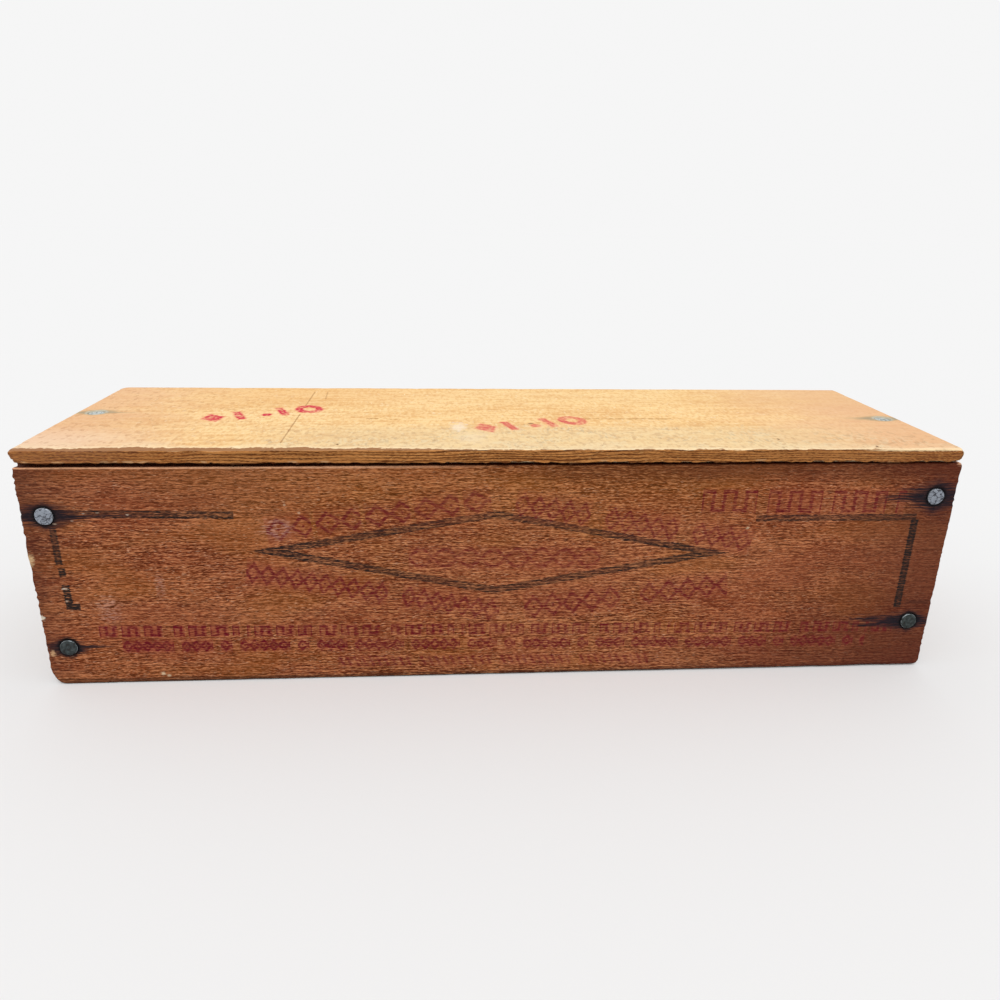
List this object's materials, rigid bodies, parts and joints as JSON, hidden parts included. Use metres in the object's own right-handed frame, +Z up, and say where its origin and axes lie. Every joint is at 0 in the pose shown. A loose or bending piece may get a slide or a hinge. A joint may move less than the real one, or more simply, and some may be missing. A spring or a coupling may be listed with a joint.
{
  "type": "wooden cheese box",
  "caption": "Small long antique wooden cheese box: thin sawn boards nailed to thick end boards, with a nailed thin lid that lifts off.",
  "frame": {"origin": "centre of the box's footprint, on the surface it stands on", "axes": "+X along the box to the right as the printed front is seen, -Y out of the printed front, +Z up"},
  "size_m": [0.2286, 0.0698, 0.062],
  "materials": {
    "lid_wood": "bare honey-coloured wood, faintly printed, with open fine grain",
    "panel_wood": "reddish-brown aged wood, matt, printed in black and faded red",
    "end_wood": "aged sawn softwood, matt",
    "bottom_wood": "aged sawn wood, matt, scuffed underneath",
    "nail_steel": "dull grey steel, worn bright on the rims, dark with iron oxide round them"
  },
  "bodies": {
    "box": {"front_panel": "panel_wood", "back_panel": "panel_wood", "bottom_board": "bottom_wood", "left_end_board": "end_wood", "right_end_board": "end_wood", "front_left_nails": "nail_steel", "front_right_nails": "nail_steel", "back_left_nails": "nail_steel", "back_right_nails": "nail_steel", "bottom_left_nails": "nail_steel", "bottom_right_nails": "nail_steel"},
    "lid": {"lid": "lid_wood", "lid_left_nail": "nail_steel", "lid_right_nail": "nail_steel"}
  },
  "joints": [
    {"name": "lid_lift", "type": "slide", "parent": "box", "child": "lid", "axis": [0, 0, 1], "range_m": [0, 0.08]}
  ]
}
